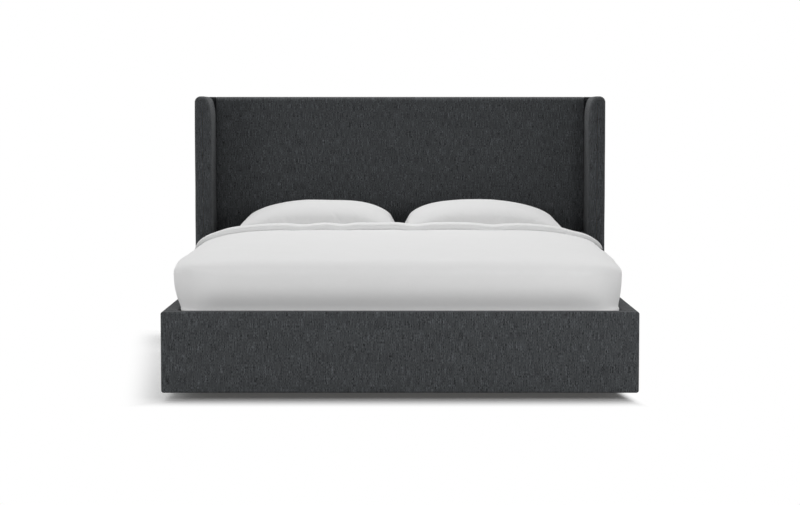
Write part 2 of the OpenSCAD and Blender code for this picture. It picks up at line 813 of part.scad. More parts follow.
function lower_z(u, v) = seam_z(u, v) - pillow_belly * pillow_seam * pow(fullness(u, v), 0.7);
function pillow_grid(upper) = [for (j = [0:pillow_cells_d], i = [0:pillow_cells_w])
    let (
        u = spread(i, pillow_cells_w),
        v = spread(j, pillow_cells_d),
        p = pillow_plan(u, v)
    ) [p[0], p[1], upper ? upper_z(u, v) : lower_z(u, v)]
];
module pillow(side) {
    nx = pillow_cells_w + 1;
    ny = pillow_cells_d + 1;
    half = nx * ny;
    rim = function(i, j) i == 0 || j == 0 || i == nx - 1 || j == ny - 1;
    low = function(i, j) rim(i, j) ? j * nx + i : half + j * nx + i;
    high = function(i, j) j * nx + i;
    cell = function(at, i, j) (2 * i < nx - 1) == (2 * j < ny - 1)
        ? [[at(i, j), at(i, j + 1), at(i + 1, j + 1)], [at(i, j), at(i + 1, j + 1), at(i + 1, j)]]
        : [[at(i, j), at(i, j + 1), at(i + 1, j)], [at(i + 1, j), at(i, j + 1), at(i + 1, j + 1)]];
    upper_faces = [for (j = [0:ny - 2], i = [0:nx - 2], f = cell(high, i, j)) f];
    lower_faces = [for (j = [0:ny - 2], i = [0:nx - 2], f = cell(low, i, j)) [f[0], f[2], f[1]]];
    color(white_cloth) on_side(side) translate([pillow_x, pillow_y, sheet_top + soft_clear]) difference() {
        polyhedron(concat(pillow_grid(true), pillow_grid(false)), concat(upper_faces, lower_faces));
        box3(-pillow_w, -pillow_d, -pillow_h, pillow_w, pillow_d, 0);
    }
}

footboard_board();
footboard_foam();
footboard_cover();
rail_board(-1);  // rail_left_board
rail_foam_pad(-1);  // rail_left_foam
rail_cover(-1);  // rail_left_cover
rail_board(1);  // rail_right_board
rail_foam_pad(1);  // rail_right_foam
rail_cover(1);  // rail_right_cover
ledger(-1);  // ledger_left
ledger(1);  // ledger_right
corner_bracket(-1, -1);  // corner_bracket_front_left
corner_bracket(1, -1);  // corner_bracket_front_right
corner_bracket(-1, 1);  // corner_bracket_rear_left
corner_bracket(1, 1);  // corner_bracket_rear_right
frame_bolts();
centre_beam();
beam_hanger(-1);  // beam_hanger_front
beam_hanger(1);  // beam_hanger_rear
centre_leg(0);  // centre_leg_front
centre_leg(1);  // centre_leg_middle
centre_leg(2);  // centre_leg_rear
leveller(0);  // leveller_front
leveller(1);  // leveller_middle
leveller(2);  // leveller_rear
front_foot(-1);  // foot_front_left
front_foot(1);  // foot_front_right
rear_foot(-1);  // foot_rear_left
rear_foot(1);  // foot_rear_right
headboard_stile(-1);  // headboard_stile_left
headboard_stile(1);  // headboard_stile_right
headboard_top_rail();
headboard_lower_rail();
headboard_panel();
headboard_foam();
headboard_cover();
headboard_back_panel();
wing_board(-1);  // wing_left_board
wing_foam_pad(-1);  // wing_left_foam
wing_cover(-1);  // wing_left_cover
wing_board(1);  // wing_right_board
wing_foam_pad(1);  // wing_right_foam
wing_cover(1);  // wing_right_cover
mattress();
fitted_sheet();
duvet();
pillow(-1);  // pillow_left
pillow(1);  // pillow_right
for (i = [1:slat_count]) slat(i);
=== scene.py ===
"""Upholstered bed with bedding: soft goods, materials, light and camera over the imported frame"""

import math

import bmesh
import bpy
import numpy as np
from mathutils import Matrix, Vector, noise

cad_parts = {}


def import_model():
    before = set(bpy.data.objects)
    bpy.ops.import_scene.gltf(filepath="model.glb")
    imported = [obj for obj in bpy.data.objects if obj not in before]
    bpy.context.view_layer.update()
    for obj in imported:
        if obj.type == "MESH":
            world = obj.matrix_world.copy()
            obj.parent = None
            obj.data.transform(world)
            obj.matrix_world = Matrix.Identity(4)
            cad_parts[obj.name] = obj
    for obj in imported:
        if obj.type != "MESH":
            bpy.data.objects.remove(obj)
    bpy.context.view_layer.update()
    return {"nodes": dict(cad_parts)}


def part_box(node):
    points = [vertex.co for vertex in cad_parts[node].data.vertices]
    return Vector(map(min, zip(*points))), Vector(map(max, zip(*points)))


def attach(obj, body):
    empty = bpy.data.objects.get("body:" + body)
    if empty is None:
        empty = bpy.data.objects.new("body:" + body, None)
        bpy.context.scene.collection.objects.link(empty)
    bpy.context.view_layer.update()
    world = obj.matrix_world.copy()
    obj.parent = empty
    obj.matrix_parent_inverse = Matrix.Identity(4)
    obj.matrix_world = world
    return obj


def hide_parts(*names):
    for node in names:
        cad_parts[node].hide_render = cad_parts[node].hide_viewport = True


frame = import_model()

CLOTH_MAP = "cloth"
WELD = 1e-5
LEAST_R = 0.0005


# Node trees

NOISE_RANGE = (0.3, 0.7)
WEAVE_PITCH = 0.0022
QUILT_PITCH = 0.085
PLY_PITCH = 0.0031
DOT_PITCH = 0.004


class Net:
    """A material's node tree, with short calls that add nodes to it"""

    def __init__(self, name):
        self.material = bpy.data.materials.new(name)
        self.material.use_nodes = True
        self.tree = self.material.node_tree
        self.shader = self.tree.nodes["Principled BSDF"]

    def put(self, socket, value):
        if isinstance(value, bpy.types.NodeSocket):
            self.tree.links.new(value, socket)
        else:
            socket.default_value = value

    def add(self, kind, inputs, out=0, **settings):
        node = self.tree.nodes.new("ShaderNode" + kind)
        for name, value in settings.items():
            setattr(node, name, value)
        for key, value in inputs.items():
            self.put(node.inputs[key], value)
        return node.outputs[out]

    def math(self, operation, a, b=0.0):
        return self.add("Math", {0: a, 1: b}, operation=operation)

    def cloth(self):
        return self.add("UVMap", {}, uv_map=CLOTH_MAP)

    def place(self):
        return self.add("TexCoord", {}, out=3)

    def stretched(self, vector, scale):
        return self.add("Mapping", {"Vector": vector, "Scale": scale})

    def noise(self, vector, scale=1.0, detail=2.0, roughness=0.5, distortion=0.0):
        values = {"Vector": vector, "Scale": scale, "Detail": detail}
        values |= {"Roughness": roughness, "Distortion": distortion}
        return self.add("TexNoise", values)

    def spread(self, value, low, high):
        """A noise value, taken to lie in NOISE_RANGE, spread from low to high"""
        values = {"Value": value, "From Min": NOISE_RANGE[0], "From Max": NOISE_RANGE[1]}
        values |= {"To Min": low, "To Max": high}
        return self.add("MapRange", values)

    def mix(self, factor, a, b, blend="MIX"):
        return self.add("Mix", {0: factor, 6: a, 7: b}, out=2, data_type="RGBA", blend_type=blend)

    def grey(self, value):
        return self.add("CombineColor", {0: value, 1: value, 2: value})

    def bump(self, height, distance, strength=1.0):
        normal = self.add("Bump", {"Height": height, "Distance": distance, "Strength": strength})
        self.put(self.shader.inputs["Normal"], normal)

    def finish(self, colour, roughness, **inputs):
        self.put(self.shader.inputs["Base Color"], colour)
        self.put(self.shader.inputs["Roughness"], roughness)
        for name, value in inputs.items():
            self.put(self.shader.inputs[name.replace("_", " ")], value)
        return self.material


def rgb(red, green, blue):
    return (red, green, blue, 1.0)


def weave_height(net, vector, pitch, across=1.0):
    """Height of a plain weave, from -1 to 1, with threads pitch apart"""
    parts = net.add("SeparateXYZ", {"Vector": vector}).node
    turns = 2 * math.pi / pitch
    warp = net.math("SINE", net.math("MULTIPLY", parts.outputs[0], turns))
    weft = net.math("SINE", net.math("MULTIPLY", parts.outputs[1], turns * across))
    return net.math("MULTIPLY", warp, weft)


def upholstery():
    """Charcoal heathered weave with short upright slubs"""
    net = Net("upholstery_charcoal")
    cloth = net.cloth()
    slub = net.noise(net.stretched(cloth, (360, 25, 1)), detail=1.0, roughness=0.6)
    long_slub = net.noise(net.stretched(cloth, (300, 11, 1)), detail=2.0, roughness=0.6)
    fleck = net.noise(net.stretched(cloth, (430, 125, 1)), detail=1.0)
    clump = net.noise(net.stretched(cloth, (52, 30, 1)), detail=2.0)
    patch = net.noise(cloth, scale=14, detail=3.0)
    hue = net.noise(cloth, scale=38, detail=2.0)
    weave = weave_height(net, cloth, WEAVE_PITCH)
    strength = net.spread(clump, 0.2, 1.7)
    streak = net.math("MULTIPLY", net.spread(slub, -0.5, 0.57), strength)
    streak = net.math("ADD", streak, net.math("MULTIPLY", net.spread(fleck, -0.57, 0.65), strength))
    tone = net.math("MULTIPLY", net.math("ADD", streak, 1.0), net.spread(long_slub, 0.85, 1.18))
    tone = net.math("MAXIMUM", tone, 0.12)
    tone = net.math("MULTIPLY", tone, net.spread(patch, 0.94, 1.06))
    yarn = net.mix(hue, rgb(0.0517, 0.0560, 0.0594), rgb(0.0537, 0.0566, 0.0599))
    colour = net.mix(1.0, yarn, net.grey(tone), "MULTIPLY")
    height = net.math("ADD", net.math("MULTIPLY", slub, 1.4), net.math("MULTIPLY", weave, 0.3))
    net.bump(net.math("ADD", height, fleck), 0.0008, 0.7)
    return net.finish(colour, 0.88, Sheen_Weight=0.06, Sheen_Roughness=0.5, Specular_IOR_Level=0.2)


def cotton(name, colour, shade, pitch, sheen):
    """Washed cotton: fine threads, faint creases with painted shade in their hollows and a painted
    highlight on their crests, and a slight change of tone
    """
    net = Net(name)
    cloth = net.cloth()
    thread = net.noise(net.stretched(cloth, (1 / pitch, 0.12 / pitch, 1)), detail=1.0)
    cross = net.noise(net.stretched(cloth, (0.12 / pitch, 1 / pitch, 1)), detail=1.0)
    crumple = net.noise(cloth, scale=26, detail=4.0, roughness=0.55, distortion=0.6)
    # Painted shade and highlight: the crumple term makes the cloth slightly darker in the creases'
    # hollows and lighter on their crests
    tone = net.math("MULTIPLY", net.spread(thread, 0.985, 1.015), net.spread(crumple, 0.985, 1.01))
    base = net.mix(1.0, colour, net.grey(tone), "MULTIPLY")
    seen = net.mix(net.noise(cloth, scale=5, detail=2.0), base, shade)
    height = net.math("ADD", net.math("MULTIPLY", net.math("ADD", thread, cross), 0.12), crumple)
    net.bump(height, 0.0012, 0.35)
    return net.finish(seen, 0.8, Sheen_Weight=sheen, Sheen_Roughness=0.4, Specular_IOR_Level=0.25)


def ticking():
    """Mattress cover: knitted cloth quilted in diamonds, with painted shade along the quilting's
    stitched hollows
    """
    net = Net("mattress_ticking")
    place = net.place()
    parts = net.add("SeparateXYZ", {"Vector": place}).node
    rise = net.math("ADD", parts.outputs[0], parts.outputs[1])
    fall = net.math("SUBTRACT", parts.outputs[0], parts.outputs[1])
    turns = math.pi / QUILT_PITCH
    first = net.math("ABSOLUTE", net.math("SINE", net.math("MULTIPLY", rise, turns)))
    second = net.math("ABSOLUTE", net.math("SINE", net.math("MULTIPLY", fall, turns)))
    quilt = net.math("POWER", net.math("MULTIPLY", first, second), 0.35)
    knit = net.noise(net.stretched(place, (700, 700, 250)), detail=1.0)
    # Painted shade: the quilt term makes the cloth up to 3 % darker along the stitched hollows of the
    # quilting
    tone = net.math("MULTIPLY", net.spread(knit, 0.94, 1.04), net.spread(quilt, 0.97, 1.0))
    colour = net.mix(1.0, rgb(0.74, 0.73, 0.70), net.grey(tone), "MULTIPLY")
    net.bump(net.math("ADD", quilt, net.math("MULTIPLY", knit, 0.08)), 0.004, 0.6)
    return net.finish(colour, 0.85, Sheen_Weight=0.15)


def timber(name, along, light, dark):
    """Sawn softwood with its grain along one axis"""
    net = Net(name)
    scale = [38.0, 38.0, 38.0]
    scale[along] = 1.6
    grain = net.stretched(net.place(), scale)
    ring = net.noise(grain, scale=1.0, detail=5.0, roughness=0.6, distortion=0.8)
    fibre = net.noise(net.stretched(grain, (9, 9, 9)), detail=2.0)
    colour = net.mix(net.spread(ring, 0.0, 1.0), dark, light)
    colour = net.mix(0.35, colour, net.grey(net.spread(fibre, 0.5, 0.95)), "MULTIPLY")
    net.bump(net.math("ADD", ring, net.math("MULTIPLY", fibre, 0.5)), 0.0006, 0.5)
    return net.finish(colour, net.spread(fibre, 0.55, 0.75))


def plywood():
    """Birch plywood: a broad face grain, and plies on its cut edges"""
    net = Net("plywood_birch")
    place = net.place()
    grain = net.noise(net.stretched(place, (14, 60, 2.2)), detail=4.0, distortion=1.2)
    plies = weave_height(net, net.stretched(place, (1, 1, 0)), PLY_PITCH)
    colour = net.mix(net.spread(grain, 0, 1), rgb(0.50, 0.33, 0.17), rgb(0.68, 0.50, 0.29))
    colour = net.mix(net.spread(plies, 0.0, 0.18), colour, rgb(0.30, 0.18, 0.09))
    net.bump(grain, 0.0004, 0.4)
    return net.finish(colour, 0.6)


def foam():
    """Cut polyurethane foam with open pores, darkened by painted shade in each pore"""
    net = Net("foam_cream")
    place = net.place()
    pores = net.add("TexVoronoi", {"Vector": place, "Scale": 620.0})
    cloud = net.noise(place, scale=9, detail=3.0)
    colour = net.mix(net.spread(cloud, 0, 1), rgb(0.80, 0.68, 0.38), rgb(0.86, 0.77, 0.50))
    # Painted shade: the colour darkens towards the middle of each pore, where the bump has its hollows
    colour = net.mix(net.math("MULTIPLY", pores, 0.5), rgb(0.55, 0.43, 0.22), colour)
    net.bump(pores, 0.0012, 0.6)
    return net.finish(colour, 0.95, Sheen_Weight=0.1)


def steel():
    """Zinc-plated steel, faintly mottled and scratched"""
    net = Net("steel_zinc")
    place = net.place()
    spangle = net.add("TexVoronoi", {"Vector": place, "Scale": 160.0}, out=1)
    scratch = net.noise(net.stretched(place, (900, 60, 60)), detail=2.0)
    colour = net.mix(0.12, rgb(0.56, 0.58, 0.60), spangle)
    net.bump(scratch, 0.0001, 0.4)
    return net.finish(colour, net.spread(scratch, 0.28, 0.46), Metallic=1.0)


def black_plastic():
    """Moulded black plastic with a fine spark texture"""
    net = Net("plastic_black")
    place = net.place()
    spark = net.noise(place, scale=1400, detail=2.0)
    wear = net.noise(place, scale=45, detail=4.0)
    colour = net.mix(net.spread(wear, 0, 1), rgb(0.016, 0.016, 0.018), rgb(0.03, 0.03, 0.032))
    net.bump(spark, 0.0002, 0.5)
    return net.finish(colour, net.spread(wear, 0.42, 0.6))


def lining():
    """Black non-woven cloth that closes the headboard's back"""
    net = Net("lining_black")
    place = net.place()
    fibre = net.noise(net.stretched(place, (320, 1, 320)), detail=5.0, roughness=0.7)
    across = net.add("SeparateXYZ", {"Vector": place}, out=0)
    upward = net.add("SeparateXYZ", {"Vector": place}, out=2)
    dots = weave_height(net, net.add("CombineXYZ", {0: across, 1: upward}), DOT_PITCH)
    colour = net.mix(net.spread(fibre, 0, 1), rgb(0.012, 0.012, 0.013), rgb(0.035, 0.035, 0.037))
    net.bump(net.math("ADD", fibre, net.math("MULTIPLY", dots, 0.4)), 0.0005, 0.7)
    return net.finish(colour, 0.9, Sheen_Weight=0.1)


def dress(names, material):
    """Gives a material to CAD nodes that keep their shape"""
    for name in names:
        for slot in frame["nodes"][name].material_slots:
            slot.material = material


# Meshes from sewn patches


def sew(name, patches, swell=None):
    """One smooth mesh from patches, each a grid of points and a grid of cloth coordinates

    Both are in metres. swell gives how far a point moves along its normal.
    """
    made = bmesh.new()
    layer = made.loops.layers.uv.new(CLOTH_MAP)
    for points, cloth in patches:
        verts = [[made.verts.new(p) for p in row] for row in points]
        for j in range(len(points) - 1):
            for i in range(len(points[0]) - 1):
                corners = [(j, i), (j, i + 1), (j + 1, i + 1), (j + 1, i)]
                face = made.faces.new([verts[a][b] for a, b in corners])
                face.smooth = True
                for loop, (a, b) in zip(face.loops, corners):
                    loop[layer].uv = cloth[a][b]
    bmesh.ops.remove_doubles(made, verts=made.verts, dist=WELD)
    bmesh.ops.recalc_face_normals(made, faces=made.faces)
    if swell:
        made.normal_update()
        moves = [vert.normal * swell(vert.co, vert.normal) for vert in made.verts]
        for vert, move in zip(made.verts, moves):
            vert.co += move
    mesh = bpy.data.meshes.new(name)
    made.to_mesh(mesh)
    made.free()
    piece = bpy.data.objects.new(name, mesh)
    bpy.context.scene.collection.objects.link(piece)
    return piece


def side_name(side):
    return "left" if side < 0 else "right"


def place_piece(piece, body, material, slot, *nodes):
    """Gives a finished piece its material and its body, and hides the CAD nodes that it stands for.
    slot is not used.
    """
    piece.data.materials.append(material)
    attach(piece, body)
    if nodes:
        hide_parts(*nodes)
    return piece


def outline(corners, radii, counts, turn_steps=8, power=1.0):
    """Closed outline through corners, each rounded by its (radius in, radius out)

    counts gives the number of points added along each side.
    """
    corners = [np.array(c, float) for c in corners]
    total = len(corners)
    ways = []
    for k in range(total):
        way = corners[(k + 1) % total] - corners[k]
        ways.append(way / np.linalg.norm(way))
    arcs = []
    for k in range(total):
        arrive, leave = ways[k - 1], ways[k]
        r_in, r_out = (max(r, LEAST_R) for r in radii[k])
        centre = corners[k] - arrive * r_in + leave * r_out
        arcs.append([
            centre - leave * r_out * math.cos(t) ** power + arrive * r_in * math.sin(t) ** power
            for t in np.linspace(0, math.pi / 2, turn_steps + 1)
        ])
    points = []
    for k in range(total):
        start, end = arcs[k][-1], arcs[(k + 1) % total][0]
        points += arcs[k]
        points += [start + (end - start) * (i + 1) / (counts[k] + 1) for i in range(counts[k])]
    return np.array(points + [points[0]])


def arc_length(points):
    """Length along a line of points up to each of them"""
    steps = np.linalg.norm(np.diff(points, axis=0), axis=1)
    return np.concatenate([[0.0], np.cumsum(steps)])


def loft(ring, axis, low, high, edge_r, middle, caps, open_low=False):
    """Patches of a form whose outline ring(inset) runs along an axis, with rounded ends and caps

    middle gives the stations between the rounded ends, and caps the insets of the rings that
    close an end.
    """
    turn = np.linspace(0, math.pi / 2, 7)
    stations = [(low + edge_r * (1 - math.cos(t)), edge_r * (1 - math.sin(t))) for t in turn]
    if open_low:
        stations = [(low, 0.0)]
    stations += [(at, 0.0) for at in middle]
    stations += [(high - edge_r * (1 - math.cos(t)), edge_r * (1 - math.sin(t))) for t in turn[::-1]]

    def ring_3d(at, inset):
        flat = ring(inset)
        column = np.full(len(flat), at)
        order = {0: (column, flat[:, 0], flat[:, 1]), 1: (flat[:, 0], column, flat[:, 1])}
        return np.stack(order.get(axis, (flat[:, 0], flat[:, 1], column)), axis=1)

    round_way = arc_length(ring(0.0))
    long_way = arc_length(np.array(stations))
    along = np.broadcast_to(long_way[:, None], (len(long_way), len(round_way)))
    around = np.broadcast_to(round_way[None, :], along.shape)
    cloth = np.stack([around, along] if axis == 2 else [along, around], axis=2)
    patches = [(np.array([ring_3d(*s) for s in stations]), cloth)]
    flat_axes = [k for k in range(3) if k != axis]
    for at in ([] if open_low else [low]) + [high]:
        points = np.array([ring_3d(at, inset) for inset in [edge_r] + caps])
        patches.append((points, points[:, :, flat_axes]))
    return patches


def crowned(low, high, axis, depth, power=4):
    """How far a face that looks along an axis swells, most in its middle"""
    across = [k for k in range(3) if k != axis]

    def amount(point, normal):
        share = abs(normal[axis])
        for k in across:
            half = (high[k] - low[k]) / 2
            place = abs(point[k] - low[k] - half) / half
            share *= max(0.0, 1 - place**power)
        return depth * share

    return amount


def rumple(point, size, seed):
    """Smooth noise from about -1 to 1, with hollows about size apart"""
    return noise.noise(Vector(point) / size + Vector((seed, seed * 1.7, -seed)))


def ripple(point, depth_size, seed):
    """Rumple with a depth and a size, given together"""
    depth, size = depth_size
    return depth * rumple(point, size, seed)


def bell(value, at, reach):
    """Bell curve of height 1 about at"""
    return math.exp(-(((value - at) / reach) ** 2))


def section(low, high, radii, counts):
    """Outline of a bar: up its front face, over its top, down its back, for any inset"""

    def ring(inset):
        a0, b0, a1, b1 = low[0] + inset, low[1] + inset, high[0] - inset, high[1] - inset
        corners = [(a1, b0), (a0, b0), (a0, b1), (a1, b1)]
        return outline(corners, [(r - inset, r - inset) for r in radii], counts)

    return ring


# Upholstered frame

EDGE_R = 0.009
HEAD_TOP_R = 0.026
HEAD_BACK_R = 0.006
WING_EDGE_R = 0.028
WING_TOP_R = 0.028
WING_CURVE = (0.036, 0.110)
BASE_CROWN = 0.0022
HEAD_CROWN = 0.004
WING_CROWN = 0.003
# Ripples: their depth, and how far apart their hollows are
BASE_RIPPLE = (0.0005, 0.14)
HEAD_RIPPLE = (0.0008, 0.2)
WING_RIPPLE = (0.0006, 0.12)


def footboard(material):
    low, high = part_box("footboard_cover")
    ring = section((low[1], low[2]), (high[1], high[2]), [EDGE_R] * 4, (3, 18, 4, 10))
    middle = np.linspace(low[0] + 0.02, high[0] - 0.02, 85)
    patches = loft(ring, 0, low[0], high[0], EDGE_R, middle, [0.016, 0.02, 0.024, 0.0278])
    crown = crowned(low, high, 1, BASE_CROWN)

    def swell(point, normal):
        return crown(point, normal) + ripple(point, BASE_RIPPLE, 3) * abs(normal[1])

    piece = sew("footboard_upholstery", patches, swell)
    return place_piece(piece, "bedstead", material, "upholstery", "footboard_cover")


def rail(side, material):
    name = side_name(side)
    low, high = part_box(f"rail_{name}_cover")
    ring = section((low[0], low[2]), (high[0], high[2]), [EDGE_R] * 4, (3, 14, 4, 14))
    middle = np.linspace(low[1] + 0.01, high[1] - 0.01, 80)
    patches = loft(ring, 1, low[1], high[1], 0.002, middle, [0.02, 0.0278])
    crown = crowned(low, high, 0, BASE_CROWN)

    def swell(point, normal):
        outward = max(0.0, normal[0] * side)
        return outward * (crown(point, normal) + ripple(point, BASE_RIPPLE, 5 + side))

    piece = sew(f"rail_{name}_upholstery", patches, swell)
    return place_piece(piece, "bedstead", material, "upholstery", f"rail_{name}_cover")


def headboard(material):
    low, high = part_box("headboard_cover")
    radii = [0.004, 0.004, HEAD_TOP_R, HEAD_BACK_R]
    ring = section((low[1], low[2]), (high[1], high[2]), radii, (4, 44, 4, 24))
    middle = np.linspace(low[0] + 0.015, high[0] - 0.015, 90)
    patches = loft(ring, 0, low[0], high[0], 0.005, middle, [0.012, 0.02, 0.03, 0.042])
    crown = crowned(low, high, 1, HEAD_CROWN, 3)

    def swell(point, normal):
        front = max(0.0, -normal[1])
        return front * (crown(point, normal) + ripple(point, HEAD_RIPPLE, 9))

    piece = sew("headboard_upholstery", patches, swell)
    return place_piece(piece, "bedstead", material, "upholstery", "headboard_cover")


def wing(side, material):
    name = side_name(side)
    low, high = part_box(f"wing_{name}_cover")
    inner, outer = (high[0], low[0]) if side < 0 else (low[0], high[0])

    def ring(inset):
        x0, x1 = inner + side * inset, outer - side * inset
        z0, z1 = low[2] + inset, high[2] - inset
        round_top = (WING_TOP_R - inset, WING_TOP_R - inset)
        slow = (WING_CURVE[0] - inset, WING_CURVE[1] - inset)
        corners = [(x0, z0), (x1, z0), (x1, z1), (x0, z1)]
        sharp = (0.003, 0.003)
        return outline(corners, [sharp, sharp, round_top, slow], (3, 40, 2, 36), 14, 0.95)

    def shoulder_ring(inset):
        x0, x1 = inner + side * inset, inner + side * (WING_CURVE[0] - inset)
        z0, z1 = high[2] - WING_CURVE[1] + inset, high[2] - inset
        corners = [(x0, z0), (x1, z0), (x1, z1), (x0, z1)]
        return outline(corners, [(0.004 - inset, 0.004 - inset)] * 4, (2, 5, 2, 5), 3)

    middle = np.linspace(low[1] + WING_EDGE_R + 0.004, high[1] - WING_EDGE_R - 0.004, 16)
    patches = loft(ring, 1, low[1], high[1], WING_EDGE_R, middle, [0.031, 0.034, 0.0375])
    shoulder_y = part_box("headboard_cover")[0][1] + HEAD_TOP_R
    middle = np.linspace(shoulder_y + 0.01, high[1] - 0.01, 4)
    patches += loft(shoulder_ring, 1, shoulder_y, high[1], 0.004, middle, [0.01, 0.0175])
    crown = crowned(low, high, 1, WING_CROWN, 2)

    def swell(point, normal):
        front = max(0.0, -normal[1]) if point[1] < shoulder_y - 0.005 else 0.0
        return front * crown(point, normal) + ripple(point, WING_RIPPLE, 12 + side) * abs(normal[0])

    piece = sew(f"wing_{name}_upholstery", patches, swell)
    nodes = [f"wing_{name}_cover", f"wing_{name}_foam"]
    return place_piece(piece, "bedstead", material, "upholstery", *nodes)


# Mattress and fitted sheet

MATTRESS_R = 0.060
MATTRESS_EDGE_R = 0.024
MATTRESS_CAPS = [0.03, 0.045, 0.07, 0.11, 0.17, 0.25, 0.35, 0.46, 0.58, 0.69, 0.755, 0.7615]
TAPE_SHARE = 0.55
TAPE_REACH = 0.005
TAPE_ROLL = 0.0012
SIDE_DRAW = 0.0006
SHEET_T = 0.0015
SHEET_DRAW = 0.0004
GATHER_HEIGHT = 0.06
GATHER_RATE = 260
GATHER_DEPTH = 0.0003
PULL_DEPTH = 0.0004


def mattress_ring(low, high, grow):
    def ring(inset):
        x0, y0, x1, y1 = low[0] + inset, low[1] + inset, high[0] - inset, high[1] - inset
        corners = [(x1, y1), (x0, y1), (x0, y0), (x1, y0)]
        r = MATTRESS_R + grow - inset
        return outline(corners, [(r, r)] * 4, (30, 42, 30, 42), 10)

    return ring


def mattress(material):
    low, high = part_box("mattress")
    ring = mattress_ring(low, high, 0.0)
    edge = MATTRESS_EDGE_R
    middle = np.linspace(low[2] + edge + 0.006, high[2] - edge - 0.006, 9)
    patches = loft(ring, 2, low[2], high[2], edge, middle, MATTRESS_CAPS)
    tape = edge * TAPE_SHARE

    def swell(point, normal):
        from_end = min(point[2] - low[2], high[2] - point[2])
        roll = bell(from_end, tape, TAPE_REACH) * TAPE_ROLL
        return roll - SIDE_DRAW * (1 - abs(normal[2]))

    piece = sew("mattress_ticking", patches, swell)
    return place_piece(piece, "mattress", material, "mattress_fabric", "mattress")


def fitted_sheet(material):
    low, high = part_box("fitted_sheet")
    ring = mattress_ring(low, high, SHEET_T)
    edge = MATTRESS_EDGE_R + SHEET_T
    middle = np.linspace(low[2] + 0.004, high[2] - edge - 0.006, 12)
    patches = loft(ring, 2, low[2], high[2], edge, middle, MATTRESS_CAPS, open_low=True)

    def swell(point, normal):
        side = 1 - abs(normal[2])
        low_share = max(0.0, 1 - (point[2] - low[2]) / GATHER_HEIGHT)
        gather = low_share * math.sin((point[0] + point[1]) * GATHER_RATE)
        pull = rumple((point[0] * 3, point[1] * 3, point[2]), 0.16, 21)
        return -SHEET_DRAW + side * (GATHER_DEPTH * gather + PULL_DEPTH * pull)

    piece = sew("fitted_sheet_cotton", patches, swell)
    return place_piece(piece, "mattress", material, "sheet_cotton", "fitted_sheet")


# Duvet

DUVET_WIDE_Z = 0.441
DUVET_TOP_Z = 0.5115
DUVET_RISE = 0.009
DUVET_SLOPE = 0.488
DUVET_CORNER_R = 0.170
DUVET_HALF_W = 0.844
DUVET_FRONT_Y = -1.092
FOLD_Y = 0.498
DUVET_L = FOLD_Y - DUVET_FRONT_Y
BAND_Y = 0.386
MATTRESS_HALF_W = 0.762
BULGE = 0.081
LEFT_FULLER = 0.013
WIDEN_START = 0.04
# Waves of the width: size, rate along the duvet, and phase for the right side
WIDTH_WAVES = ((0.0018, 8.3, 1), (0.001, 19, 2))
WAVE_START = 0.2
# Hump of the left and of the right side
HUMP = (0.012, 0.004)
HUMP_AT = 0.55
HUMP_REACH = 0.3
WIDEN_POWER = 0.42
NOSE_SHARE = 0.45
NOSE_R = 0.075
FALL_POWER = 5.7
LEFT_FALL = 3.4
LEFT_FALL_REACH = 0.6
SIDE_POWER = 0.56
PUFF = (0.0022, 0.33)
FINE_PUFF = (0.0009, 0.12)
PUFF_START = 0.1
UNDER_SIDE = (2, 0.455)
UNDER_FRONT = (3, 2.2)
TUCK_X = 0.7812
TUCK_R = 0.085
SLOT_Y = -1.0472
REST_Z = 0.3168
HEM_Z = 0.290
SHEET_TOP = 0.4419
UNDER_X = 0.7645
UNDER_Y = -1.0355
UNDER_CORNER_R = 0.062
UNDER_CLEAR = 0.0004
REST_CLEAR = 0.0008
HEM_SAG = 0.002
EDGE_STEPS = [
    0, 0.0008, 0.0025, 0.005, 0.009, 0.014, 0.021, 0.030, 0.042, 0.057, 0.076, 0.1, 0.126, 0.15,
]
# Dips in the band's edge: place, reach and share
DIPS = [
    (-0.413, 0.055, 1.0),
    (-0.247, 0.04, 0.8),
    (0.064, 0.05, 0.9),
    (0.396, 0.06, 1.0),
    (0.745, 0.045, 1.1),
    (-0.79, 0.05, 0.8),
]
DIP_DEPTH = 0.008
DIP_REACH = 0.03


def duvet_columns():
    """Places of the grid's columns from -1 to 1, close together at both sides"""
    inner = np.linspace(0, 1 - EDGE_STEPS[-1] / DUVET_HALF_W, 34)[:-1]
    outer = 1 - np.array(EDGE_STEPS[::-1]) / DUVET_HALF_W
    half = np.concatenate([inner, outer])
    return np.concatenate([-half[:0:-1], half])


def duvet_rows():
    """Distances of the grid's rows behind the front, close together at the front"""
    near = np.array(EDGE_STEPS)
    far = np.linspace(EDGE_STEPS[-1], DUVET_L, 66)[1:]
    return np.concatenate([near, far])


def duvet_half_width(y, side):
    """Half of the duvet's width: wider to the back, fuller on the left, with a hump and slow waves"""
    s = math.hypot(y - DUVET_FRONT_Y, WIDEN_START)
    wave = sum(size * math.sin(s * rate + turn * side) for size, rate, turn in WIDTH_WAVES)
    hump = HUMP[0 if side < 0 else 1] * bell(s, HUMP_AT, HUMP_REACH)
    widening = BULGE * (s / DUVET_L) ** WIDEN_POWER + hump
    fuller = LEFT_FULLER if side < 0 else 0
    return MATTRESS_HALF_W + widening + fuller + wave * min(1.0, s / WAVE_START)


def plan_point(column, s, half_w, front, corner_r):
    """Plan of one grid point: a rectangle whose two front corners are round"""
    side = -1 if column < 0 else 1
    x = abs(column) * half_w
    p = (x - half_w + corner_r) / corner_r
    q = 1 - s / corner_r
    if p > 0 and q > 0:
        p_even = p + (1 / math.sqrt(1 - q * q / 2) - 1) * p * (1 - p)
        q_even = q + (1 / math.sqrt(1 - p * p / 2) - 1) * q * (1 - q)
        x = half_w - corner_r + corner_r * p_even * math.sqrt(1 - q_even * q_even / 2)
        s = corner_r * (1 - q_even * math.sqrt(1 - p_even * p_even / 2))
    return side * x, front + s


def dip_at(x):
    """Share by which the band's edge dips at x"""
    return sum(share * bell(x, at, reach) for at, reach, share in DIPS)


def nose(way):
    """Quarter round that rises from 0 to 1 over way 0 to 1"""
    return math.sqrt(1 - (1 - min(1.0, way)) ** 2)


